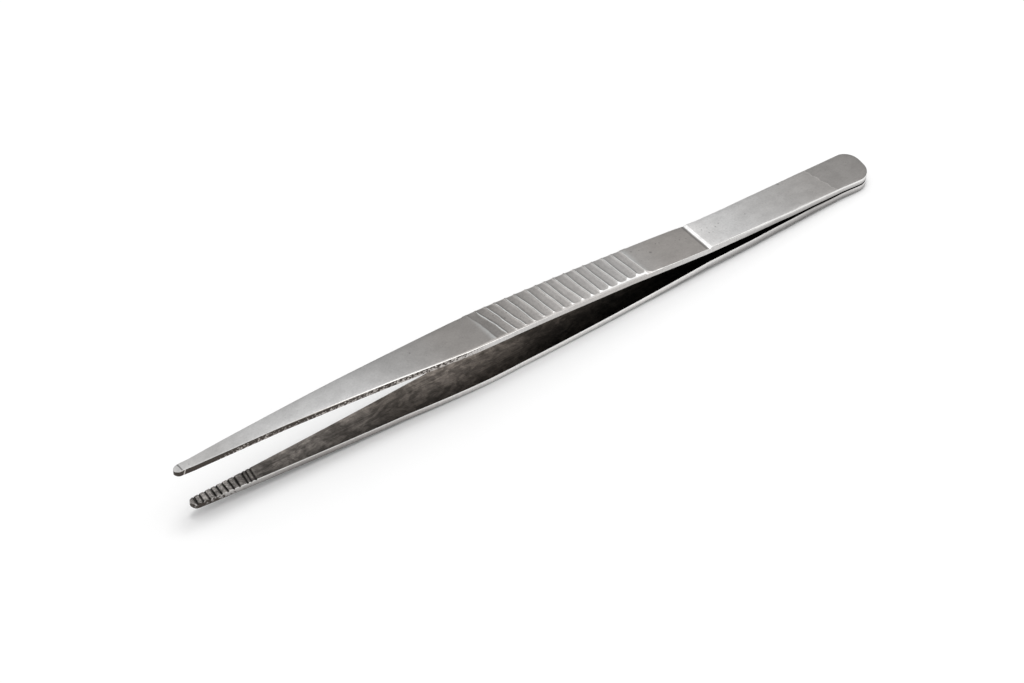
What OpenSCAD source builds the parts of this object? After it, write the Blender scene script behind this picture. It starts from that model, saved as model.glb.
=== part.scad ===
// Serrated thumb forceps (large tweezers): two sprung steel arms welded at the butt.
// Millimetres. X runs from the tips to the butt, Y across the width, Z up.
// The tool lies on its lower arm, touching at the belly and at the butt.

/* [Overall] */
// length from the upper tip to the butt
length = 144.2; // [140:0.1:150]
// how far the lower tip ends short of the upper one
tip_setback = 2.6; // [0:0.1:3]

/* [Arm plan] */
// width across the very tip
tip_w = 1.8; // [1.5:0.1:2.4]
// widest part, at the front of the thumb grip
grip_w = 7.7; // [7.4:0.1:8.4]
// width at the shoulder, the narrowest part behind the grip
waist_w = 7.3; // [6.8:0.1:7.4]
// width at the butt
butt_w = 8.2; // [7.6:0.1:8.6]
// where the tapered nose reaches nearly its full width, from the tip
taper_l = 55; // [50:1:57]
// length of the gripping end that carries the serrations
tip_l = 20; // [18:1:30]
// corner radius at the butt
butt_r = 3.2; // [1.5:0.1:3.6]

/* [Arm side view] */
// sheet thickness of the heel
sheet_t = 1.34; // [1.22:0.02:1.5]
// thickness in front of the shoulder, where the outside is ground down
jaw_t = 1.14; // [1.05:0.01:1.19]
// radius to which the front of each arm is bowed outwards
bow_r = 982; // [950:1:1020]
// distance of the widest gap from the tip
crest_s = 26; // [20:1:34]
// half of the gap between the arms at its widest
crest_gap = 4.16; // [4:0.02:5]
// distance of the shoulder from the tip
shoulder_s = 105.3; // [103:0.1:107]
// length of the bright bevel at the shoulder
bevel_l = 0.5; // [0.3:0.1:1]
// length of the flat butt where the arms touch
pad_l = 6.8; // [5.8:0.1:12]

/* [Thumb grip] */
// number of hollow-ground flutes across each arm
flute_n = 16; // [8:1:18]
// spacing of the flutes
flute_pitch = 2.03; // [1.8:0.01:2.2]
// depth of a flute
flute_d = 0.17; // [0.1:0.01:0.25]
// flat left on the ridge between two flutes
ridge_w = 0.12; // [0.08:0.01:0.3]
// first ridge, from the tip
grip_s = 59; // [57:0.1:62]

/* [Tip serrations] */
// number of grooves across each inner face
serr_n = 11; // [6:1:12]
// spacing of the grooves
serr_pitch = 1.09; // [1:0.01:1.3]
// width of a groove at the surface
serr_w = 0.4; // [0.25:0.01:0.5]
// depth of a groove
serr_d = 0.27; // [0.15:0.01:0.35]
// first groove, from the end of the tip
serr_s = 0.9; // [0.8:0.1:2]
// length of the small bevel on the outside of the nose
nose_l = 1.1; // [1:0.1:1.8]
// how far the nose bevel drops
nose_d = 0.28; // [0.15:0.01:0.35]

/* [Weld] */
// diameter of the spot weld inside the butt
weld_d = 3.6; // [2.5:0.1:4.5]
// height of the weld nugget
weld_h = 0.6; // [0.4:0.1:0.8]

/* [Hidden] */
$fn = 96;
far = 40;                       // reach of cutting shapes past the arm
bow_n = 28;                     // steps of the bowed side profile
// half gap at the tip and at the shoulder
tip_gap = crest_gap - bow_r + sqrt(pow(bow_r, 2) - pow(crest_s, 2));
shoulder_gap = crest_gap - bow_r + sqrt(pow(bow_r, 2) - pow(shoulder_s - crest_s, 2));
bend_s = length - pad_l;
grip_end = grip_s + flute_n * flute_pitch;
line_w = 0.12;                  // fine line in front of the shoulder
// the lower arm's belly and its butt edge both stand on z = 0
lie_a = length - crest_s;
lie_b = bow_r - crest_gap + sheet_t;
lie_r = sqrt(pow(lie_a, 2) + pow(lie_b, 2));
lie_tilt = atan2(lie_a, lie_b) - acos((bow_r + jaw_t) / lie_r);
lie_z = length * sin(lie_tilt) + sheet_t * cos(lie_tilt);
// middle of the overall length
x_low = tip_gap * sin(lie_tilt);
x_high = length * cos(lie_tilt) + sheet_t * sin(lie_tilt);
lie_x = -(x_low + x_high) / 2;
// flute cylinder, tip half width
flute_c = flute_pitch - ridge_w;
flute_r = pow(flute_c, 2) / (8 * flute_d) + flute_d / 2;
tip_r = tip_w / 2;
steel = [0.74, 0.74, 0.72];
steel_dark = [0.60, 0.59, 0.57];

// point i of the bowed side profile at radius r
function bow_point(i, r) =
    let (a = asin((-1 + i * (shoulder_s + 3) / bow_n - crest_s) / bow_r))
    [crest_s + r * sin(a), crest_gap - bow_r + r * cos(a)];

// puts a piece drawn along the closing plane down on the table
module lie() {
    translate([lie_x, 0, lie_z]) rotate([0, lie_tilt, 0]) children();
}

// turns a piece about the bow centre so that its middle comes to distance s
module at_bow(s) {
    translate([crest_s, 0, crest_gap - bow_r])
        rotate([0, asin((s - crest_s) / bow_r), 0]) children();
}

// plan outline in front of the shoulder, drawn from its own tip at b
module front_plan(b) {
    linear_extrude(height = far, center = true) {
        polygon([
            [b + tip_r, -tip_r], [taper_l, -grip_w * 0.47], [taper_l + 7, -grip_w / 2],
            [taper_l + 26, -grip_w / 2], [shoulder_s, -waist_w / 2],
            [shoulder_s, waist_w / 2], [taper_l + 26, grip_w / 2],
            [taper_l + 7, grip_w / 2], [taper_l, grip_w * 0.47], [b + tip_r, tip_r]]);
    }
    translate([b + tip_r, 0, 0]) cylinder(h = far, r = tip_r, center = true);
}

// plan outline behind the shoulder
module rear_plan() {
    linear_extrude(height = far, center = true)
        polygon([
            [shoulder_s, -waist_w / 2], [shoulder_s + 16, -waist_w / 2],
            [length - butt_r, -butt_w / 2], [length - butt_r, butt_w / 2],
            [shoulder_s + 16, waist_w / 2], [shoulder_s, waist_w / 2]]);
    translate([length - butt_r, 0, 0])
        cube([2 * butt_r, butt_w - 2 * butt_r, far], center = true);
    for (side = [-1, 1])
        translate([length - butt_r, side * (butt_w / 2 - butt_r), 0])
            cylinder(h = far, r = butt_r, center = true);
}

// stretch of the bowed arm, in front of the shoulder; its own tip stands b behind the origin
module blade(b, from, to) {
    intersection() {
        front_plan(b);
        translate([from, -far / 2, -far / 2]) cube([to - from, far, far]);
        rotate([90, 0, 0]) linear_extrude(height = 12, center = true)
            polygon(concat(
                [for (i = [0 : bow_n]) bow_point(i, bow_r)],
                [for (i = [bow_n : -1 : 0]) bow_point(i, bow_r + jaw_t)]));
    }
}

// gripping end: grooves across the inner face, a small bevel on the outside
module tip(b) {
    color(steel) difference() {
        blade(b, -0.5, tip_l);
        for (i = [0 : serr_n - 1])
            at_bow(b + serr_s + i * serr_pitch)
                translate([0, 0, bow_r]) rotate([90, 0, 0])
                    linear_extrude(height = far, center = true)
                        polygon([[-serr_w / 2 - 0.05, -0.1], [serr_w / 2 + 0.05, -0.1],
                                 [serr_w * 0.2, serr_d], [-serr_w * 0.2, serr_d]]);
        at_bow(b + nose_l)
            translate([0, 0, bow_r + jaw_t]) rotate([90, 0, 0])
                linear_extrude(height = far, center = true)
                    polygon([[0, 0], [-nose_l * 2, -nose_d * 2], [-nose_l * 2, 1], [0, 1]]);
    }
}

// plain taper between the gripping end and the thumb grip
module nose(b) {
    color(steel) blade(b, tip_l, grip_s);
}

// thumb grip: hollow-ground flutes across the outside
module grip() {
    color(steel) difference() {
        blade(0, grip_s, grip_end);
        for (i = [0 : flute_n - 1])
            at_bow(grip_s + (i + 0.5) * flute_pitch)
                translate([0, 0, bow_r + jaw_t - flute_d]) intersection() {
                    translate([0, 0, flute_r]) rotate([90, 0, 0])
                        cylinder(h = far, r = flute_r, center = true);
                    translate([0, 0, 0.3])
                        cube([flute_pitch - 0.04, far - 2, 0.8], center = true);
                }
    }
}

// plain shank up to the shoulder, with a fine line across it just before the shoulder
module shank() {
    color(steel) difference() {
        blade(0, grip_end, shoulder_s);
        at_bow(shoulder_s - line_w)
            translate([0, 0, bow_r + jaw_t]) rotate([0, 45, 0])
                cube([line_w, far, line_w], center = true);
    }
}

// rear part at full sheet thickness: a straight spring and the flat butt
module heel() {
    color(steel) difference() {
        intersection() {
            rear_plan();
            rotate([90, 0, 0]) linear_extrude(height = far, center = true)
                polygon([
                    [shoulder_s, shoulder_gap], [bend_s, 0], [length, 0], [length, sheet_t],
                    [bend_s, sheet_t], [shoulder_s + bevel_l, shoulder_gap + sheet_t - 0.015],
                    [shoulder_s, shoulder_gap + jaw_t]]);
        }
        weld_nugget();
    }
}

// nugget of the spot weld, half in each arm
module weld_nugget() {
    translate([bend_s + pad_l / 2, 0, 0]) cylinder(h = weld_h, d = weld_d, center = true);
}

module weld() {
    color(steel_dark) weld_nugget();
}

module upper() {
    lie() children();
}

module lower() {
    lie() mirror([0, 0, 1]) children();
}

upper() tip(0);  // upper_tip
upper() nose(0);  // upper_nose
upper() grip();  // upper_grip
upper() shank();  // upper_shank
upper() heel();  // upper_heel
lower() tip(tip_setback);  // lower_tip
lower() nose(tip_setback);  // lower_nose
lower() grip();  // lower_grip
lower() shank();  // lower_shank
lower() heel();  // lower_heel
lie() weld();  // heel_weld
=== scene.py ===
import math

import bpy
import numpy as np
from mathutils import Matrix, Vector


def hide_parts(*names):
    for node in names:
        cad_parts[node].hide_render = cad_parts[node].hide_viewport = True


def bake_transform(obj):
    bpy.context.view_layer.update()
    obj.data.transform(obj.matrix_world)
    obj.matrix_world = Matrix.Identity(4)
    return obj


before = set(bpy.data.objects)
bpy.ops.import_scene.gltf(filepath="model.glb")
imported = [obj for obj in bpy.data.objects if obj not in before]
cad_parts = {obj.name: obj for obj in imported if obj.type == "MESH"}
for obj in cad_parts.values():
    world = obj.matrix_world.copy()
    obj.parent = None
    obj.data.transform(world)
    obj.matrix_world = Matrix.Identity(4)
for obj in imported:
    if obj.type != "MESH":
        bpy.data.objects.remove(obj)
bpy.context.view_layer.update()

# Serrated thumb forceps on a white table. Each arm is one continuous mesh.
# Lengths are in millimetres in the tool's own frame until they reach place():
# s runs from the upper tip to the butt, y across the width from the near side to the far one,
# and n from an arm's inner face outwards. side is +1 for the upper arm and -1 for the lower one.

MM = 0.001

# ---------------------------------------------------------------- driving dimensions
LENGTH = 144.2
TIP_SETBACK = 2.6
TIP_W, GRIP_W, WAIST_W, BUTT_W = 1.8, 7.7, 7.3, 8.2
TAPER_S = 55.0
BUTT_R = 3.2
SHEET_T, JAW_T = 1.34, 1.14
BOW_R, CREST_S, CREST_GAP = 982.0, 26.0, 4.16
SHOULDER_S, BEVEL_L = 105.3, 0.32
PAD_L = 6.8
GRIP_S, FLUTE_N, FLUTE_PITCH = 59.0, 16, 2.03
FLUTE_D, RIDGE_W = 0.12, 0.10
SERR_S, SERR_N, SERR_PITCH = 0.9, 11, 1.09
SERR_W, SERR_D = 0.46, 0.26
NOSE_L, NOSE_D = 1.1, 0.28
BEND_S = LENGTH - PAD_L
GRIP_END = GRIP_S + FLUTE_N * FLUTE_PITCH
TIP_R = TIP_W / 2
SEAM = 0.045                     # half of the air left between the two flat butts
BELLY_ROUND = 0.06               # rounding of the lower arm's bottom edges
SHOULDER_SOFT, BEND_SOFT = 0.5, 2.0     # reach over which the inner face's two kinks are rounded
LEAN_FADE = 2.0                  # distance behind the shoulder over which the thickness turns upright
EDGE_ROLL_W = 1.2                # width over which grinding has rolled the outer face down to its edge
FAR_CHAMFER = 0.22               # size of the far edge's chamfer beside the grip, against the near edge's
FLUTE_POWER = 4.5                # 2 is a round flute; higher is flatter in the middle
FINE_LINE_D = 0.06               # depth of the fine lines at the nose bevel and in front of the shoulder
NICK_HALF_W, LINE_HALF_W = 0.14, 0.22
LINE_BEFORE = 0.2                # how far in front of the shoulder its fine line runs
INNER_BEVEL_SLOPE = 0.85
SERR_FADE_W, SERR_LEAST = 0.3, 0.2      # where and how far the upper arm's grooves grow shallow at the edge
BUTT_FINISH_S = 135.05           # where the butt's second finish begins

# ---------------------------------------------------------------- how the tool lies
LIE_TILT = (math.atan2(LENGTH - CREST_S, BOW_R - CREST_GAP + SHEET_T)
            - math.acos((BOW_R + JAW_T) / math.hypot(LENGTH - CREST_S, BOW_R - CREST_GAP + SHEET_T)))
TIP_GAP = CREST_GAP - BOW_R + math.sqrt(BOW_R ** 2 - CREST_S ** 2)
SHOULDER_GAP = CREST_GAP - BOW_R + math.sqrt(BOW_R ** 2 - (SHOULDER_S - CREST_S) ** 2)
LIE_Z = LENGTH * math.sin(LIE_TILT) + SHEET_T * math.cos(LIE_TILT)
LIE_X = -(TIP_GAP * math.sin(LIE_TILT) + LENGTH * math.cos(LIE_TILT) + SHEET_T * math.sin(LIE_TILT)) / 2


def place(s, y, z):
    """Tool frame in millimetres to the row frame in metres."""
    c, k = math.cos(LIE_TILT), math.sin(LIE_TILT)
    return np.stack([LIE_X + s * c + z * k, y, LIE_Z - s * k + z * c], -1) * MM


# ---------------------------------------------------------------- side profile of an arm
def bow_slope(s):
    """Slope of the inner face: bowed, straight behind the shoulder, flat in the butt."""
    front = -(s - CREST_S) / np.sqrt(BOW_R ** 2 - (s - CREST_S) ** 2)
    heel = -SHOULDER_GAP / (BEND_S - SHOULDER_S)
    return np.where(s < SHOULDER_S, front, np.where(s < BEND_S, heel, 0.0))


def rounded_profile():
    """Inner face's height with its two kinks rounded, as a fine table along s."""
    step = 0.02
    s = np.arange(-2.0, LENGTH + 2.0, step)
    slope = bow_slope(s)
    for at, reach in ((SHOULDER_S, SHOULDER_SOFT), (BEND_S, BEND_SOFT)):
        n = int(reach / step)
        soft = np.convolve(np.pad(slope, n, mode="edge"), np.ones(2 * n + 1) / (2 * n + 1), "valid")
        slope = np.where(abs(s - at) < 2 * reach, soft, slope)
    z = np.concatenate([[0.0], np.cumsum((slope[1:] + slope[:-1]) / 2 * step)])
    return s, z - np.interp(LENGTH, s, z)


PROFILE_S, PROFILE_Z = rounded_profile()


def half_gap(s):
    return np.interp(s, PROFILE_S, PROFILE_Z)


def lean(s):
    """Angle of the thickness direction: square to the bow in front, upright in the heel."""
    bowed = np.arcsin((np.minimum(s, SHOULDER_S) - CREST_S) / BOW_R)
    return bowed * np.clip(1 - (s - SHOULDER_S) / LEAN_FADE, 0, 1)


# ---------------------------------------------------------------- plan outline
def half_width(s, tip):
    """Half the width at s of an arm whose tip stands at s = tip."""
    at = [tip + TIP_R, TAPER_S, TAPER_S + 7, TAPER_S + 26, SHOULDER_S, SHOULDER_S + 16, LENGTH - BUTT_R]
    w = [TIP_W, GRIP_W * 0.94, GRIP_W, GRIP_W, WAIST_W, WAIST_W, BUTT_W]
    straight = np.interp(s, at, w) / 2
    nose = np.sqrt(np.clip(TIP_R ** 2 - (tip + TIP_R - s) ** 2, 0, None))
    corner = BUTT_W / 2 - BUTT_R + np.sqrt(np.clip(BUTT_R ** 2 - (s - LENGTH + BUTT_R) ** 2, 0, None))
    return np.where(s < tip + TIP_R, nose, np.where(s > LENGTH - BUTT_R, corner, straight))


def edge_distance(s, y, tip):
    """Distance in plan from the outline, inwards."""
    side = half_width(s, tip) - abs(y)
    nose = TIP_R - np.hypot(s - tip - TIP_R, y)
    flat_y = BUTT_W / 2 - BUTT_R
    corner = BUTT_R - np.hypot(s - LENGTH + BUTT_R, np.maximum(abs(y) - flat_y, 0))
    d = np.where(s < tip + TIP_R, nose, np.where(s > LENGTH - BUTT_R, corner, side))
    return np.clip(d, 0, None)


# ---------------------------------------------------------------- relief on the faces
RIDGE_RNG = np.random.default_rng(7)
RIDGE_LOOSE = np.interp(np.arange(FLUTE_N + 1), [0, 4, 6], [2.0, 1.6, 1.0])
RIDGE_AT = (GRIP_S + FLUTE_PITCH * np.arange(FLUTE_N + 1)
            + RIDGE_LOOSE * RIDGE_RNG.normal(0, 0.09, FLUTE_N + 1))
RIDGE_TILT = RIDGE_LOOSE * RIDGE_RNG.normal(0, 0.02, FLUTE_N + 1)
RIDGE_WAVE = RIDGE_RNG.uniform(0, 2 * math.pi, FLUTE_N + 1)
FLUTE_DEPTH = (FLUTE_D * RIDGE_RNG.uniform(0.75, 1.1, FLUTE_N)
               * np.interp(np.arange(FLUTE_N), [0, 2], [0.6, 1]))
GROOVE_AT = SERR_S + SERR_PITCH * np.arange(SERR_N) + RIDGE_RNG.normal(0, 0.03, SERR_N)
GROOVE_AT[-3:] += (0.4, 0.05, -0.22)       # the last three were cut unevenly
GROOVE_DEPTH = SERR_D * np.concatenate([np.ones(SERR_N - 3), [0.8, 0.6, 0.7]])


def flute_drop(s, y):
    """Depth of the hollow-ground thumb grip below the outer face."""
    drop = np.zeros(np.broadcast(s, y).shape)
    ridge = []
    for at, tilt, loose, wave in zip(RIDGE_AT, RIDGE_TILT, RIDGE_LOOSE, RIDGE_WAVE):
        wander = np.sin(1.1 * y + wave) + 0.5 * np.sin(2.7 * y - wave)
        ridge.append(at + tilt * y + 0.04 * loose * wander)
    for i in range(FLUTE_N):
        u = (s - ridge[i] - RIDGE_W / 2) / (ridge[i + 1] - ridge[i] - RIDGE_W)
        drop += np.where((u > 0) & (u < 1), FLUTE_DEPTH[i] * (1 - abs(2 * u - 1) ** FLUTE_POWER), 0.0)
    deeper_far = 0.6 * np.clip((y - 1.2) / 2.6, 0, 1) ** 2
    return drop * (1 + deeper_far)


def serration_drop(s, y, tip):
    """Depth of the cross grooves in the inner face of the tip."""
    drop = np.zeros(np.broadcast(s, y).shape)
    for at, depth in zip(GROOVE_AT, GROOVE_DEPTH):
        u = abs(s - tip - at)
        drop = np.maximum(drop, depth * np.clip((SERR_W / 2 - u) / (SERR_W * 0.36), 0, 1))
    return drop


def chamfer_width(s):
    """Width of the outer edge's chamfer: fine on the nose, broad beside the thumb grip."""
    return np.interp(s, [0, 30, 56, 60, 66, 80, 91, 92.2, 96, 118, 126, LENGTH],
                     [0.05, 0.08, 0.20, 0.36, 0.55, 0.95, 1.20, 0.14, 0.05, 0.05, 0.10, 0.14])


def chamfer_depth(s):
    """Depth of the same chamfer at the edge."""
    return np.interp(s, [0, 24, 32, 56, 60, 91, 92.2, 96, 118, 126],
                     [0.01, 0.015, 0.05, 0.11, 0.16, 0.20, 0.08, 0.04, 0.04, 0.10])


def outer_drop(s, y, tip, side):
    """How far the outer face lies below its nominal height."""
    d = edge_distance(s, y, tip)
    in_grip = (s > GRIP_S - 1) & (s < GRIP_END + 1)
    fine = np.where((y > 0) & in_grip, FAR_CHAMFER, 1.0)
    chamfer = fine * chamfer_depth(s) * np.clip(1 - d / (fine * chamfer_width(s)), 0, 1)
    if side < 0:
        chamfer = np.maximum(chamfer, BELLY_ROUND * np.clip(1 - d / BELLY_ROUND, 0, 1) ** 1.5)
    roll = np.interp(s, [4, 34], [0.008, 0.04]) * np.clip(1 - d / EDGE_ROLL_W, 0, 1) ** 2
    nose = np.clip(tip + NOSE_L - s, 0, None) * NOSE_D / NOSE_L
    nick = FINE_LINE_D * np.clip(1 - abs(s - tip - NOSE_L) / NICK_HALF_W, 0, 1)
    line = FINE_LINE_D * np.clip(1 - abs(s - SHOULDER_S + LINE_BEFORE) / LINE_HALF_W, 0, 1)
    return np.maximum(flute_drop(s, y), chamfer) + roll + nose + nick + line


def inner_drop(s, y, tip, side):
    """How far the inner face is cut back: grooves at the tip, and a small bevel along the edges."""
    d = edge_distance(s, y, tip)
    fade = np.clip(d / SERR_FADE_W, SERR_LEAST, 1) if side > 0 else 1.0
    width = np.interp(s, [tip + 13, tip + 15, BEND_S - 6, BEND_S], [0.08, 0.06, 0.06, 0.20])
    bevel = np.clip(width - d, 0, None) * INNER_BEVEL_SLOPE
    return np.maximum(fade * serration_drop(s, y, tip), bevel)


def thickness(s, y):
    """Nominal thickness: thinner in front of the shoulder, with a hand-cut bevel up to the full sheet."""
    length = BEVEL_L * (1 + 0.07 * np.sin(2.3 * y + 0.6) + 0.05 * np.sin(5.1 * y))
    return JAW_T + (SHEET_T - JAW_T) * np.clip((s - SHOULDER_S) / length, 0, 1)


# ---------------------------------------------------------------- mesh of one arm
OUTER_OFF = np.array([0, 0.07, 0.15, 0.24, 0.34, 0.46, 0.6, 0.78, 1.0])
INNER_OFF = np.array([0, 0.03, 0.06, 0.12, 0.2, 0.32, 0.6])
OUTER_MID, INNER_MID, SIDE_MID = 8, 8, 4
# Columns at the edge of an outer face, by side, and of an inner face that take the side's finish
OUTER_RIM, INNER_RIM = {1: 1, -1: 3}, 2
SHARP_ANGLE = math.radians(24)


def stations(tip):
    """Distances along the arm where the mesh has a ring, close together where the shape is fine."""
    nose = tip + TIP_R * (1 - np.cos(np.radians(np.linspace(9, 90, 10))))
    spans = [(tip + TIP_R + 0.05, tip + 15, 0.055), (tip + 15, GRIP_S - 1.5, 0.45),
             (GRIP_S - 1.5, GRIP_END + 1.5, 0.08), (GRIP_END + 1.5, SHOULDER_S - 1.2, 0.45),
             (SHOULDER_S - 1.2, SHOULDER_S + 1.6, 0.05), (SHOULDER_S + 1.6, BEND_S, 0.5),
             (BEND_S, LENGTH - BUTT_R, 0.35)]
    middle = [np.arange(a, b - step * 0.4, step) for a, b, step in spans]
    corner = LENGTH - BUTT_R + BUTT_R * np.sin(np.radians(np.linspace(0, 90, 16)))
    rim = LENGTH - np.array([0.34, 0.24, 0.16, 0.08])
    s = np.sort(np.concatenate([nose, *middle, corner, rim]))
    return s[np.concatenate([[True], np.diff(s) > 0.012])]


def skew(s, tip):
    """How far a cross line runs along the arm for each millimetre towards the far side."""
    at = [tip + 0.2, tip + 0.9, tip + 2.5, tip + 7, tip + 9, tip + 12, tip + 18, 54, GRIP_S, GRIP_END, 96,
          130, 140, LENGTH]
    k = [0, 0.17, 0.08, 0.04, 0.15, 0.15, 0, 0, -0.114, -0.058, 0, 0, 0.12, 0.12]
    return np.interp(s, at, k)


# Hand filing: how far each edge stands outside the even outline, as (places s, millimetres), by side
NEAR_FILED = {1: ([0, 3, 10, 20, 30, 40, 48, 54, 58, 63, 70, 88, 100, 115, 124, 130, 137, LENGTH],
                  [0.05, 0.2, 0.15, 0, 0.1, 0.22, 0.44, 0.48, 0.34, 0.12, 0.06, 0, 0.18, 0.12,
                   0, -0.28, -0.5, -0.34]),
              -1: ([42, 50, 58, 64, 70, 85, 115, 124, 130, 137, LENGTH],
                   [0, 0.25, 0.35, 0.2, 0.25, 0.27, 0.27, 0, -0.28, -0.5, -0.34])}
FAR_FILED = {1: ([0, 3, 10, 16, 22, 32, 103, 108, 114, 120, 132, 138],
                 [-0.2, -0.4, -0.24, -0.2, -0.12, 0, 0, -0.28, -0.22, 0, 0.1, 0.06]),
             -1: ([0, LENGTH], [0, 0])}
WIDEST = BUTT_W / 2 - 0.01


def filed(s, y, w, side):
    """Place across the width after filing, kept inside the widest part of the tool."""
    near_edge = np.minimum(np.interp(s, *NEAR_FILED[side]), WIDEST - w)
    far_edge = np.minimum(np.interp(s, *FAR_FILED[side]), WIDEST - w)
    return y - near_edge * np.clip(-y / w, 0, 1) ** 2 + far_edge * np.clip(y / w, 0, 1) ** 2


def ring_y(w, off, mid):
    """Places across the width, closer together towards the two edges, from near to far."""
    scale = np.minimum(1.0, w / 1.6)[:, None]
    edge = w[:, None] - off[None, :] * scale
    inside = edge[:, -1:] * np.linspace(-1, 1, mid + 2)[None, 1:-1]
    return np.concatenate([-edge, inside, edge[:, ::-1]], 1)


def build_arm(name, tip, side):
    """One arm as a closed mesh: a ring of points at each station, and a cap at each end."""
    s0 = stations(tip)
    w = np.maximum(half_width(s0, tip), 0.12)
    y_out, y_in = ring_y(w, OUTER_OFF, OUTER_MID), ring_y(w, INNER_OFF, INNER_MID)
    s = s0[:, None]
    n_out = thickness(s, y_out) - outer_drop(s, y_out, tip, side)
    n_in = inner_drop(s, y_in, tip, side) + np.where(s > BEND_S - 3, SEAM, 0.0)
    f = np.linspace(0, 1, SIDE_MID + 2)[None, 1:-1]
    far_n = n_out[:, -1:] * (1 - f) + n_in[:, -1:] * f
    near_n = n_in[:, :1] * (1 - f) + n_out[:, :1] * f
    far_y, near_y = w[:, None] + 0 * f, -w[:, None] + 0 * f
    y = np.concatenate([y_out, far_y, y_in[:, ::-1], near_y], 1)
    n = np.concatenate([n_out, far_n, n_in[:, ::-1], near_n], 1)
    along = s + skew(s, tip) * y
    angle = lean(along)
    x, z = along + n * np.sin(angle), half_gap(along) + n * np.cos(angle)
    points = place(x, filed(s, y, w[:, None], side), side * z).reshape(-1, 3)
    rows, cols = y.shape
    i, j = np.meshgrid(np.arange(rows - 1), np.arange(cols), indexing="ij")
    k = (j + 1) % cols
    quads = np.stack([i * cols + j, i * cols + k, (i + 1) * cols + k, (i + 1) * cols + j], -1)
    caps = [list(range(cols))[::-1], list(range((rows - 1) * cols, rows * cols))]
    faces = quads.reshape(-1, 4).tolist() + caps
    if side > 0:
        faces = [f[::-1] for f in faces]
    mesh = bpy.data.meshes.new(name)
    mesh.from_pydata(points.tolist(), [], faces)
    add_rest(mesh, along, y, n)
    outer_n, side_n, inner_n = y_out.shape[1], SIDE_MID, y_in.shape[1]
    column = j.reshape(-1)
    rim = OUTER_RIM[side]
    is_outer = (column >= rim) & (column < outer_n - 1 - rim)
    inner_0 = outer_n + side_n
    is_inner = (column >= inner_0 + INNER_RIM) & (column < inner_0 + inner_n - 1 - INNER_RIM)
    slots = np.where(is_outer, 0, np.where(is_inner, 2, 1)).tolist() + [1, 1]
    mesh.polygons.foreach_set("material_index", slots)
    mesh.shade_smooth()
    mesh.set_sharp_from_angle(angle=SHARP_ANGLE)
    mesh.update()
    obj = bpy.data.objects.new(name, mesh)
    bpy.context.scene.collection.objects.link(obj)
    return obj


def add_rest(mesh, along, y, n):
    """Keeps each point's own (s, y, n) in millimetres, so that finishes stay put if an arm is bent."""
    rest = mesh.attributes.new("rest_mm", "FLOAT_VECTOR", "POINT")
    rest.data.foreach_set("vector", np.stack([along, y, n], -1).astype(np.float32).ravel())


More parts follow.
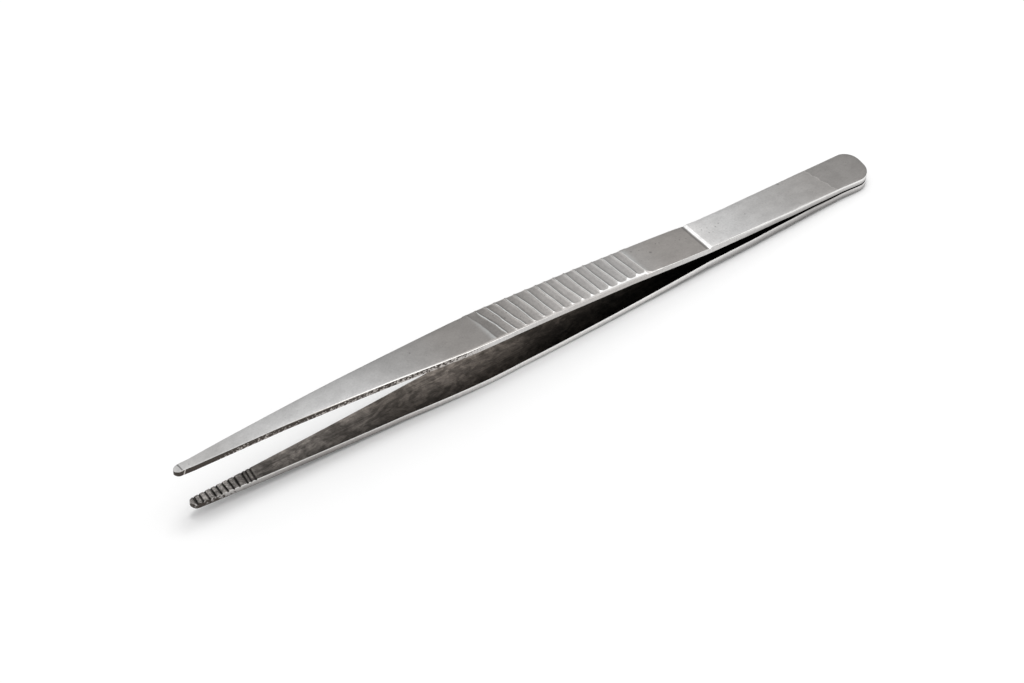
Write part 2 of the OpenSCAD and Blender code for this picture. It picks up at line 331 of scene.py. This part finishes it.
# ---------------------------------------------------------------- node helpers
class Nodes:
    """Small shorthand for building one material's node tree."""

    def __init__(self, name):
        self.mat = bpy.data.materials.new(name)
        self.mat.use_nodes = True
        self.tree = self.mat.node_tree
        self.tree.nodes.clear()
        self.out = self.tree.nodes.new("ShaderNodeOutputMaterial")
        self.bsdf = self.tree.nodes.new("ShaderNodeBsdfPrincipled")
        self.link(self.bsdf.outputs[0], self.out.inputs[0])

    def link(self, a, b):
        self.tree.links.new(a, b)

    def feed(self, socket, value):
        if isinstance(value, bpy.types.NodeSocket):
            self.link(value, socket)
        else:
            socket.default_value = value

    def rest(self):
        node = self.tree.nodes.new("ShaderNodeAttribute")
        node.attribute_name = "rest_mm"
        return node.outputs["Vector"]

    def split(self, vector):
        node = self.tree.nodes.new("ShaderNodeSeparateXYZ")
        self.link(vector, node.inputs[0])
        return node.outputs[0], node.outputs[1], node.outputs[2]

    def stretch(self, vector, scale, offset=(0, 0, 0)):
        node = self.tree.nodes.new("ShaderNodeMapping")
        self.link(vector, node.inputs["Vector"])
        node.inputs["Scale"].default_value = scale
        node.inputs["Location"].default_value = offset
        return node.outputs[0]

    def noise(self, vector, scale=1.0, detail=3.0, rough=0.55, warp=0.0):
        node = self.tree.nodes.new("ShaderNodeTexNoise")
        self.link(vector, node.inputs["Vector"])
        node.inputs["Scale"].default_value = scale
        node.inputs["Detail"].default_value = detail
        node.inputs["Roughness"].default_value = rough
        node.inputs["Distortion"].default_value = warp
        return node.outputs["Fac"]

    def cells(self, vector, scale=1.0):
        node = self.tree.nodes.new("ShaderNodeTexVoronoi")
        self.link(vector, node.inputs["Vector"])
        node.inputs["Scale"].default_value = scale
        return node.outputs["Distance"]

    def distance(self, vector, centre, weight):
        """Distance from centre in millimetres, with each axis scaled by weight."""
        delta = self.tree.nodes.new("ShaderNodeVectorMath")
        delta.operation = "SUBTRACT"
        self.link(vector, delta.inputs[0])
        delta.inputs[1].default_value = centre
        scaled = self.tree.nodes.new("ShaderNodeVectorMath")
        scaled.operation = "MULTIPLY"
        self.link(delta.outputs[0], scaled.inputs[0])
        scaled.inputs[1].default_value = weight
        length = self.tree.nodes.new("ShaderNodeVectorMath")
        length.operation = "LENGTH"
        self.link(scaled.outputs[0], length.inputs[0])
        return length.outputs["Value"]

    def math(self, op, a, b=0.0):
        node = self.tree.nodes.new("ShaderNodeMath")
        node.operation = op
        self.feed(node.inputs[0], a)
        self.feed(node.inputs[1], b)
        return node.outputs[0]

    def span(self, value, a, b, to_a=0.0, to_b=1.0, smooth=True):
        node = self.tree.nodes.new("ShaderNodeMapRange")
        node.interpolation_type = "SMOOTHSTEP" if smooth else "LINEAR"
        self.feed(node.inputs["Value"], value)
        node.inputs["From Min"].default_value = a
        node.inputs["From Max"].default_value = b
        node.inputs["To Min"].default_value = to_a
        node.inputs["To Max"].default_value = to_b
        return node.outputs["Result"]

    def ramp(self, value, stops):
        """Greys or colours along value; stops are (position, grey or colour), position from 0 to 1."""
        node = self.tree.nodes.new("ShaderNodeValToRGB")
        self.feed(node.inputs[0], value)
        points = node.color_ramp.elements
        points.remove(points[1])
        for i, (at, colour) in enumerate(stops):
            point = points.new(at) if i else points[0]
            point.position = at
            point.color = (colour,) * 3 + (1,) if isinstance(colour, float) else (*colour, 1)
        return node.outputs[0]

    def mix(self, fac, a, b, mode="MIX"):
        node = self.tree.nodes.new("ShaderNodeMix")
        node.data_type = "RGBA"
        node.blend_type = mode
        self.feed(node.inputs["Factor"], fac)
        for socket, value in ((node.inputs[6], a), (node.inputs[7], b)):
            self.feed(socket, value if isinstance(value, bpy.types.NodeSocket) else (*value, 1))
        return node.outputs[2]

    def bump(self, height, distance, strength):
        """distance is in metres."""
        node = self.tree.nodes.new("ShaderNodeBump")
        node.inputs["Strength"].default_value = strength
        node.inputs["Distance"].default_value = distance
        self.link(height, node.inputs["Height"])
        return node.outputs[0]


def along_arm(nodes, s, stops):
    """A tone that changes along the arm; stops are (s in millimetres, tone, warmth from 0 upwards)."""
    colours = [(at / LENGTH, (tone, tone * (1 - 0.06 * warm), tone * (1 - 0.11 * warm)))
               for at, tone, warm in stops]
    return nodes.ramp(nodes.math("DIVIDE", s, LENGTH), colours)


def near(nodes, value, centre, reach):
    """1 where value is within reach of centre, softly down to 0."""
    away = nodes.math("ABSOLUTE", nodes.math("SUBTRACT", value, centre))
    return nodes.span(away, reach * 0.5, reach * 1.5, 1, 0)


def darken(nodes, colour, mask, to):
    """Multiplies colour by the grey to where mask is 1."""
    return nodes.mix(1.0, colour, nodes.span(mask, 0, 1, 1.0, to, smooth=False), "MULTIPLY")


# ---------------------------------------------------------------- materials
# Tones along the faces and sides, as (s in millimetres, tone, warmth). Besides the steel's own finish they
# carry painted shading and reflection along the arm, and the white stretch from 105.1 to 105.55 is a painted
# highlight on the shoulder bevel
OUTER_TONE = [(0, 0.56, 0.2), (7, 0.45, 0.3), (15, 0.575, 0.1), (32, 0.55, 0.1), (42, 0.41, 0.3),
              (52, 0.33, 0.8), (62, 0.335, 0.8), (74, 0.45, 0.6), (88, 0.485, 0.4), (97, 0.425, 0.9),
              (104.9, 0.405, 0.9), (105.1, 1.0, 0.1), (105.55, 1.0, 0.1), (105.8, 0.825, 0.2),
              (112, 0.695, 0.1), (122, 0.56, 0.3), (133, 0.45, 0.6), (LENGTH, 0.40, 0.7)]
# Larger pits and marks on the outer faces, as (s, y, radius) in millimetres
BLEMISHES = [(95.4, 0.6, 0.24), (97.7, 2.0, 0.13), (98.4, 1.9, 0.12), (94.0, 2.0, 0.12), (92.6, 2.4, 0.16),
             (102.1, 0.8, 0.12), (103.3, 0.5, 0.12), (101.3, 1.0, 0.09), (107.1, 0.8, 0.13),
             (108.3, 0.7, 0.10), (110.8, 0.6, 0.12), (109.8, 0.2, 0.14), (107.8, -0.5, 0.12),
             (108.5, -0.7, 0.10), (116.5, 0.1, 0.14), (127.0, 3.4, 0.24), (64.6, 0.6, 0.14),
             (62.3, 1.2, 0.13), (63.6, -0.3, 0.15), (66.1, -1.4, 0.12), (72.8, 0.9, 0.12),
             (67.1, 1.3, 0.16), (70.6, 2.3, 0.12), (45.3, 1.0, 0.15), (2.6, -0.4, 0.10)]
RIDGE_HIGHLIGHT = (0.58, 0.59, 0.585)
FACET_HIGHLIGHT = (1.0, 1.0, 0.99)


def satin_steel():
    """Outer faces: fine satin grinding, faint mottling, small pits and a second finish on the butt, with
    painted highlights and shade on the grip's ridges, the bevels and the fine lines.
    """
    k = Nodes("satin_steel")
    rest = k.rest()
    s, y, n = k.split(rest)
    tone = along_arm(k, s, OUTER_TONE)
    grip_front, grip_rear = k.span(s, GRIP_S - 1, GRIP_S + 1), k.span(s, GRIP_END - 1, GRIP_END + 1, 1, 0)
    in_grip = k.math("MULTIPLY", grip_front, grip_rear)
    # painted highlight on the ridge tops of the thumb grip, and painted shade on the flank beside each ridge
    ridge = k.math("MULTIPLY", in_grip, k.span(n, JAW_T - 0.03, JAW_T - 0.01))
    flank_shade = k.math("MULTIPLY", in_grip, near(k, n, JAW_T - 0.05, 0.02))
    tone = k.mix(ridge, tone, RIDGE_HIGHLIGHT)
    tone = darken(k, tone, flank_shade, 0.76)
    # painted highlight on the ends of the ridges, where the face still follows the near edge's chamfer
    inset = k.math("ADD", y, k.span(s, TAPER_S + 26, SHOULDER_S, GRIP_W / 2, WAIST_W / 2, smooth=False))
    broad = k.span(s, 60, 91, chamfer_width(60.0), chamfer_width(91.0), smooth=False)
    deep = k.span(s, 60, 91, chamfer_depth(60.0), chamfer_depth(91.0), smooth=False)
    facet = k.math("MULTIPLY", deep, k.math("SUBTRACT", 1.0, k.math("DIVIDE", inset, broad)))
    on_facet = near(k, k.math("SUBTRACT", k.math("SUBTRACT", JAW_T, n), facet), 0.0, 0.02)
    facet_highlight = k.math("MULTIPLY", k.math("MULTIPLY", in_grip, on_facet), k.span(facet, 0.01, 0.03))
    tone = k.mix(facet_highlight, tone, FACET_HIGHLIGHT)
    # painted sheen: the outer face lighter towards the near edge on the nose and on the grip
    front = k.math("MULTIPLY", k.span(s, 10, 22), k.span(s, 34, 54, 1, 0))
    sheen_slant = k.math("ADD", k.math("MULTIPLY", front, -0.05), k.math("MULTIPLY", in_grip, -0.02))
    level = k.math("ADD", 1.0, k.math("MULTIPLY", y, sheen_slant))
    cloud = k.noise(k.stretch(rest, (0.35, 0.5, 0.5)), 1.0, 4, 0.6)
    grain = k.noise(k.stretch(rest, (2.6, 3.6, 3.6)), 1.0, 3, 0.7)
    level = k.math("MULTIPLY", level, k.span(cloud, 0.3, 0.7, 0.94, 1.06))
    level = k.math("MULTIPLY", level, k.span(grain, 0.25, 0.75, 0.94, 1.06))
    flow = k.noise(k.stretch(rest, (0.9, 0.45, 0.45), (3, 1, 2)), 1.0, 3, 0.6, 1.2)
    vein = k.math("MULTIPLY", in_grip, near(k, flow, 0.5, 0.012))
    pit_on = k.span(k.noise(k.stretch(rest, (0.6, 0.6, 0.6), (5, 2, 1)), 1.0, 2), 0.56, 0.62)
    pit = k.math("MULTIPLY", k.span(k.cells(k.stretch(rest, (1.5, 1.5, 1.5))), 0.06, 0.16, 1, 0), pit_on)
    wander = k.math("MULTIPLY", k.noise(k.stretch(rest, (0.5, 1.3, 1.0), (9, 4, 0)), 1.0, 3, 0.6), 1.5)
    butt = k.math("ADD", k.math("ADD", s, k.math("MULTIPLY", y, 0.17)), wander)
    fleck = k.noise(k.stretch(rest, (4.2, 4.2, 4.2), (2, 6, 4)), 1.0, 2, 0.5)
    level = k.math("MULTIPLY", level, k.span(fleck, 0.62, 0.72, 1.0, 0.86))
    colour = k.mix(1.0, tone, level, "MULTIPLY")
    colour = darken(k, colour, vein, 0.86)
    colour = darken(k, colour, pit, 0.70)
    colour = darken(k, colour, k.span(butt, BUTT_FINISH_S, BUTT_FINISH_S + 0.2), 0.84)
    colour = darken(k, colour, near(k, butt, BUTT_FINISH_S, 0.11), 1.2)
    # painted shade in the fine line in front of the shoulder
    colour = darken(k, colour, near(k, s, SHOULDER_S - 0.45, 0.32), 0.62)
    # painted shade in the nick at the end of the nose bevel
    nick = near(k, k.math("ADD", s, k.math("MULTIPLY", y, 0.05)), NOSE_L, 0.12)
    colour = darken(k, colour, nick, 0.45)
    for at_s, at_y, size in BLEMISHES:
        away = k.distance(rest, (at_s, at_y, JAW_T), (1.0, 1.0, 0.0))
        colour = darken(k, colour, k.span(away, size * 0.5, size * 1.6, 1, 0), 0.68)
    k.link(colour, k.bsdf.inputs["Base Color"])
    k.bsdf.inputs["Metallic"].default_value = 1.0
    rough = k.math("ADD", k.span(grain, 0.25, 0.75, 0.33, 0.43), k.math("MULTIPLY", in_grip, 0.06))
    k.link(rough, k.bsdf.inputs["Roughness"])
    lines = k.noise(k.stretch(rest, (1.2, 14.0, 14.0)), 1.0, 3, 0.6)
    fine = k.noise(k.stretch(rest, (6.0, 6.0, 6.0)), 1.0, 2, 0.6)
    height = k.math("ADD", k.math("MULTIPLY", lines, 0.4), fine)
    height = k.math("SUBTRACT", height, k.math("MULTIPLY", pit, 2.0))
    k.link(k.bump(height, 0.000006, 0.5), k.bsdf.inputs["Normal"])
    return k.mat


# Tones along the sides: the steel's own finish with painted shading; the lower arm's side is painted lighter
# in its middle than the shaded table it reflects would make it
UPPER_EDGE_TONE = [(0, 0.48, 0.9), (16, 0.42, 1.2), (50, 0.48, 1.0), (60, 0.60, 0.3), (80, 0.53, 0.6),
                   (90, 0.50, 0.6), (104, 0.62, 0.3), (120, 0.52, 0.4), (130, 0.56, 0.4), (LENGTH, 0.60, 0.3)]
LOWER_EDGE_TONE = [(0, 0.65, 0.6), (12, 0.55, 0.6), (24, 0.47, 0.8), (44, 0.73, 0.6),
                   (60, 0.99, 0.4), (74, 1.0, 0.4), (84, 0.96, 0.4), (92, 1.0, 0.4),
                   (100, 0.94, 0.3), (112, 0.73, 0.4), (130, 0.55, 0.4), (LENGTH, 0.86, 0.3)]
# How much of the side is covered with dark scale, as (s, amount); nothing shows below about 0.25
UPPER_SCALE = [(0, 0.85), (6, 0.85), (9, 0.62), (16, 0.58), (22, 0.65), (30, 0.57), (46, 0.54), (56, 0.44),
               (60, 0.0)]
LOWER_SCALE = [(0, 0.68), (6, 0.60), (9, 0.42), (14, 0.25), (20, 0.0)]
# colours of the painted rim highlight
RIM_HIGHLIGHT, RIM_HIGHLIGHT_DIM = (0.80, 0.795, 0.78), (0.62, 0.615, 0.60)
HEEL_RIM_HIGHLIGHT, LOWER_RIM_HIGHLIGHT = (0.95, 0.945, 0.93), (0.76, 0.755, 0.74)
SCALE_BROWN = (0.068, 0.057, 0.050)
FACE_GREY = (0.53, 0.53, 0.525)
SEAM_SHADE = (0.05, 0.045, 0.04)


def edge_steel(name, tones, mottled, highlight_rim):
    """Sides and chamfers: cross-ground, with a painted highlight along the rim at the outer or the inner
    face.

    Dark scale left by the press breaks up the noses; mottled says how much of it there is along the arm."""
    k = Nodes(name)
    rest = k.rest()
    s, _, n = k.split(rest)
    tone = along_arm(k, s, tones)
    streak = k.noise(k.stretch(rest, (0.5, 9.0, 9.0)), 1.0, 3, 0.6)
    hatch = k.noise(k.stretch(rest, (4.5, 1.0, 1.0)), 1.0, 2, 0.5)
    level = k.math("MULTIPLY", k.span(streak, 0.3, 0.7, 0.94, 1.05), k.span(hatch, 0.3, 0.7, 0.94, 1.06))
    # dark scale: more towards the outer face, none on its rim or in the bright notch behind the tip
    top = k.span(s, SHOULDER_S, SHOULDER_S + BEVEL_L, JAW_T, SHEET_T, smooth=False)
    below = k.math("SUBTRACT", top, n)
    clear = k.math("MAXIMUM", k.span(s, 14, 30, 0.0, 0.14), k.span(s, 1.0, 1.5, 0.14, 0.0))
    below_rim = k.span(k.math("SUBTRACT", below, clear), 0.0, 0.07)
    blotch = k.noise(k.stretch(rest, (2.4, 1.6, 2.6)), 1.0, 3, 0.6, 0.3)
    toward_rim = k.math("MULTIPLY", n, 0.13)
    scale_edge = k.ramp(k.math("DIVIDE", s, LENGTH), [(at / LENGTH, v) for at, v in mottled])
    dark = k.span(k.math("ADD", k.math("ADD", blotch, toward_rim), scale_edge), 1.02, 1.16)
    dark = k.math("MULTIPLY", dark, below_rim)
    notch = near(k, k.math("SUBTRACT", s, k.math("MULTIPLY", n, 0.3)), 1.25, 0.10)
    dark = k.math("MULTIPLY", dark, k.math("SUBTRACT", 1.0, notch))
    # the painted highlight along the rim, and painted shade on the rest of the side
    colour = k.mix(1.0, tone, level, "MULTIPLY")
    if highlight_rim == "outer":
        band = k.math("SUBTRACT", below, k.span(s, 104, 112, 0.0, 0.30))
        rim = k.math("MULTIPLY", k.span(band, 0.08, 0.18, 1, 0), k.span(s, 22, 50))
        # painted shade on the lower part of the upper arm's side at the heel
        under_shade = k.math("MULTIPLY", k.span(n, 0.35, 0.75, 1, 0), k.span(s, 108, 118))
        colour = darken(k, colour, under_shade, 0.72)
        rim_highlight_tone = k.mix(k.span(s, 90, 100), RIM_HIGHLIGHT, RIM_HIGHLIGHT_DIM)
        rim_highlight_tone = k.mix(k.span(s, 108, 122), rim_highlight_tone, HEEL_RIM_HIGHLIGHT)
    else:
        # painted shade: the lower arm's side darker towards the table
        colour = darken(k, colour, k.span(n, 0.15, 1.0, smooth=False), 0.45)
        rim_highlight_tone = k.mix(k.span(s, 90, 100), RIM_HIGHLIGHT, LOWER_RIM_HIGHLIGHT)
        rim = k.math("MULTIPLY", k.span(n, 0.10, 0.18, 1, 0), k.span(s, 8, 10))
    colour = k.mix(k.math("MULTIPLY", rim, 0.85), colour, rim_highlight_tone)
    colour = k.mix(dark, colour, SCALE_BROWN)
    # the strip of outer face that this finish takes in on the nose, and painted shade along the seam between
    # the butts
    face = k.math("MULTIPLY", k.span(n, JAW_T - 0.045, JAW_T - 0.02), k.span(s, 20, 40, 1, 0))
    colour = k.mix(face, colour, FACE_GREY)
    seam = k.math("MULTIPLY", k.span(n, 0.12, 0.20, 1, 0), k.span(s, BEND_S - 12, BEND_S - 3))
    colour = k.mix(seam, colour, SEAM_SHADE)
    k.link(colour, k.bsdf.inputs["Base Color"])
    k.bsdf.inputs["Metallic"].default_value = 1.0
    k.link(k.span(dark, 0, 1, 0.34, 0.55), k.bsdf.inputs["Roughness"])
    height = k.math("ADD", k.math("ADD", streak, hatch), k.math("MULTIPLY", dark, 0.8))
    k.link(k.bump(height, 0.000012, 0.5), k.bsdf.inputs["Normal"])
    return k.mat


# Tones along the inner faces; the fall to near black past about 66 mm is painted shade between the arms
RAW_TONE = [(0, 0.26, 1.0), (9, 0.25, 1.0), (12, 0.17, 1.2), (17, 0.12, 1.6), (20, 0.16, 1.6),
            (26, 0.16, 1.6), (31, 0.12, 1.8), (35, 0.125, 1.8), (40, 0.09, 2.1), (50, 0.135, 2.1),
            (55, 0.16, 2.1), (60, 0.13, 2.2), (66, 0.12, 2.3), (70, 0.05, 2.5), (76, 0.055, 2.5),
            (84, 0.035, 2.5), (LENGTH, 0.015, 2.5)]


def raw_steel():
    """Inner faces: dull, brownish and blotched, with lengthwise drawing lines from the press, and painted
    shade deep between the arms.
    """
    k = Nodes("raw_steel")
    rest = k.rest()
    s, y, n = k.split(rest)
    tone = along_arm(k, s, RAW_TONE)
    cloud = k.noise(k.stretch(rest, (0.6, 0.9, 0.9)), 1.0, 5, 0.7, 0.3)
    patch = k.noise(k.stretch(rest, (0.25, 0.5, 0.5), (4, 0, 8)), 1.0, 3, 0.6, 1.4)
    grit = k.noise(k.stretch(rest, (2.4, 3.0, 3.0)), 1.0, 3, 0.65)
    scratch = k.noise(k.stretch(rest, (0.07, 7.0, 7.0)), 1.0, 2, 0.5)
    level = k.math("MULTIPLY", k.span(cloud, 0.32, 0.68, 0.70, 1.32), k.span(scratch, 0.3, 0.7, 0.84, 1.16))
    level = k.math("MULTIPLY", level, k.span(grit, 0.3, 0.7, 0.90, 1.10))
    level = k.math("MULTIPLY", level, k.span(patch, 0.4, 0.6, 0.70, 1.32))
    # painted shade: behind the grooves the inner faces are darker towards the near edge and lighter towards
    # the far one
    across = k.math("ADD", 1.0, k.math("MULTIPLY", y, k.math("MULTIPLY", k.span(s, 14, 20), 0.16)))
    level = k.math("MULTIPLY", level, across)
    # painted shade in the cross grooves
    groove_shade = k.span(n, 0.03, 0.12)
    worn = k.noise(k.stretch(rest, (5.0, 2.2, 2.2), (1, 7, 3)), 1.0, 3, 0.7)
    wear = k.mix(k.span(s, 13, 16), k.span(worn, 0.3, 0.7, 0.55, 1.5), (1.0, 1.0, 1.0))
    level = k.math("MULTIPLY", level, wear)
    # one scratch that runs slightly askew behind the grooves
    bend = k.math("MULTIPLY", k.math("SUBTRACT", s, 18.0), 0.035)
    line = k.math("MULTIPLY", near(k, k.math("SUBTRACT", y, bend), 0.25, 0.05), k.span(s, 16, 19))
    colour = k.mix(1.0, tone, level, "MULTIPLY")
    colour = darken(k, colour, groove_shade, 0.30)
    colour = darken(k, colour, line, 0.70)
    k.link(colour, k.bsdf.inputs["Base Color"])
    k.bsdf.inputs["Metallic"].default_value = 1.0
    k.link(k.span(cloud, 0.3, 0.7, 0.30, 0.44), k.bsdf.inputs["Roughness"])
    k.link(k.bump(k.math("ADD", grit, scratch), 0.000018, 0.6), k.bsdf.inputs["Normal"])
    return k.mat


def fused_steel():
    """The weld nugget between the flat butts."""
    k = Nodes("fused_steel")
    coord = k.tree.nodes.new("ShaderNodeTexCoord").outputs["Object"]
    ripple = k.noise(k.stretch(coord, (1500, 1500, 1500)), 1.0, 3, 0.6)
    tones = [(0.3, (0.24, 0.23, 0.22)), (0.7, (0.42, 0.41, 0.40))]
    k.link(k.ramp(ripple, tones), k.bsdf.inputs["Base Color"])
    k.bsdf.inputs["Metallic"].default_value = 1.0
    k.link(k.span(ripple, 0.3, 0.7, 0.4, 0.6), k.bsdf.inputs["Roughness"])
    k.link(k.bump(ripple, 0.00003, 0.5), k.bsdf.inputs["Normal"])
    return k.mat


def table_white():
    """Matt white table top."""
    k = Nodes("table_white")
    coord = k.tree.nodes.new("ShaderNodeTexCoord").outputs["Object"]
    grain = k.noise(k.stretch(coord, (60, 60, 60)), 1.0, 2, 0.5)
    k.link(k.ramp(grain, [(0.3, (0.895, 0.895, 0.895)), (0.7, (0.905, 0.905, 0.905))]),
           k.bsdf.inputs["Base Color"])
    k.bsdf.inputs["Roughness"].default_value = 0.9
    k.bsdf.inputs["Specular IOR Level"].default_value = 0.1
    return k.mat


# ---------------------------------------------------------------- pieces
def add_arms():
    """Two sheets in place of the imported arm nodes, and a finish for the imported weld."""
    satin, raw = satin_steel(), raw_steel()
    upper_edge = edge_steel("upper_edge_steel", UPPER_EDGE_TONE, UPPER_SCALE, "outer")
    lower_edge = edge_steel("lower_edge_steel", LOWER_EDGE_TONE, LOWER_SCALE, "inner")
    arms = (("upper", 0.0, 1, upper_edge), ("lower", TIP_SETBACK, -1, lower_edge))
    for name, tip, side, edge in arms:
        arm = build_arm(f"{name}_arm_sheet", tip, side)
        for finish in (satin, edge, raw):
            arm.data.materials.append(finish)
        nodes = [n for n in sorted(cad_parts) if n.startswith(name + "_")]
        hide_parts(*nodes)
        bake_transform(arm)
    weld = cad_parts["heel_weld"]
    weld.data.materials.clear()
    weld.data.materials.append(fused_steel())


def add_table():
    half = 3.0                   # metres from the middle to each side
    mesh = bpy.data.meshes.new("table")
    corners = [(-half, -half, 0), (half, -half, 0), (half, half, 0), (-half, half, 0)]
    mesh.from_pydata(corners, [], [(0, 1, 2, 3)])
    mesh.materials.append(table_white())
    table = bpy.data.objects.new("table", mesh)
    bpy.context.scene.collection.objects.link(table)


# ---------------------------------------------------------------- camera and light
# Strength of the surroundings against the sine of the angle above the horizon
TENT = [(0.0, 0.31), (0.40, 0.46), (0.60, 0.66), (0.85, 1.0), (1.0, 1.0)]
AIM = Vector((-5.141, 2.035, 0.0)) * MM
DISTANCE = 450 * MM
HEADING, LOOK_DOWN = math.radians(36.451), math.radians(43.743)
LENS, SENSOR_W = 93.39, 36.0


def toward(heading, up):
    """Unit vector at a heading turned from +Y towards +X, and an angle above the horizon."""
    return Vector((math.sin(heading) * math.cos(up), math.cos(heading) * math.cos(up), math.sin(up)))


def add_camera():
    data = bpy.data.cameras.new("camera")
    data.lens = LENS
    data.sensor_width = SENSOR_W
    data.clip_start, data.clip_end = 0.01, 20.0
    camera = bpy.data.objects.new("camera", data)
    back = -toward(HEADING, -LOOK_DOWN)
    camera.location = AIM + back * DISTANCE
    camera.rotation_mode = "QUATERNION"
    camera.rotation_quaternion = (-back).to_track_quat("-Z", "Y")
    bpy.context.scene.collection.objects.link(camera)
    bpy.context.scene.camera = camera


def add_softbox(name, direction, distance, size, power):
    """A rectangular lamp that faces the tool; distance and size are in metres, power in watts."""
    data = bpy.data.lights.new(name, "AREA")
    data.shape = "RECTANGLE"
    data.size, data.size_y = size
    data.energy = power
    light = bpy.data.objects.new(name, data)
    light.location = direction * distance
    light.rotation_mode = "QUATERNION"
    light.rotation_quaternion = direction.to_track_quat("Z", "Y")
    bpy.context.scene.collection.objects.link(light)


def add_world():
    """White surroundings like a light tent: bright overhead, dimmer towards the horizon."""
    world = bpy.data.worlds.new("studio")
    world.use_nodes = True
    tree = world.node_tree
    sky = tree.nodes["Background"]
    sky.inputs["Color"].default_value = (1.0, 1.0, 1.0, 1.0)
    split = tree.nodes.new("ShaderNodeSeparateXYZ")
    tree.links.new(tree.nodes.new("ShaderNodeTexCoord").outputs["Generated"], split.inputs[0])
    dome = tree.nodes.new("ShaderNodeFloatCurve")
    curve = dome.mapping.curves[0]
    curve.points[0].location, curve.points[1].location = TENT[0], TENT[-1]
    for height, strength in TENT[1:-1]:
        curve.points.new(height, strength)
    dome.mapping.update()
    tree.links.new(split.outputs["Z"], dome.inputs["Value"])
    tree.links.new(dome.outputs["Value"], sky.inputs["Strength"])
    bpy.context.scene.world = world


def add_light():
    add_world()
    add_softbox("key", toward(HEADING, math.radians(84)), distance=1.1, size=(0.38, 0.38), power=4.0)
    add_softbox("strip", toward(HEADING + math.radians(72), math.radians(57)),
                distance=0.9, size=(0.45, 0.34), power=0.8)
    view = bpy.context.scene.view_settings
    view.view_transform = "Standard"
    view.look = "None"
    view.exposure = 0.0


add_camera()
add_light()
add_table()
add_arms()
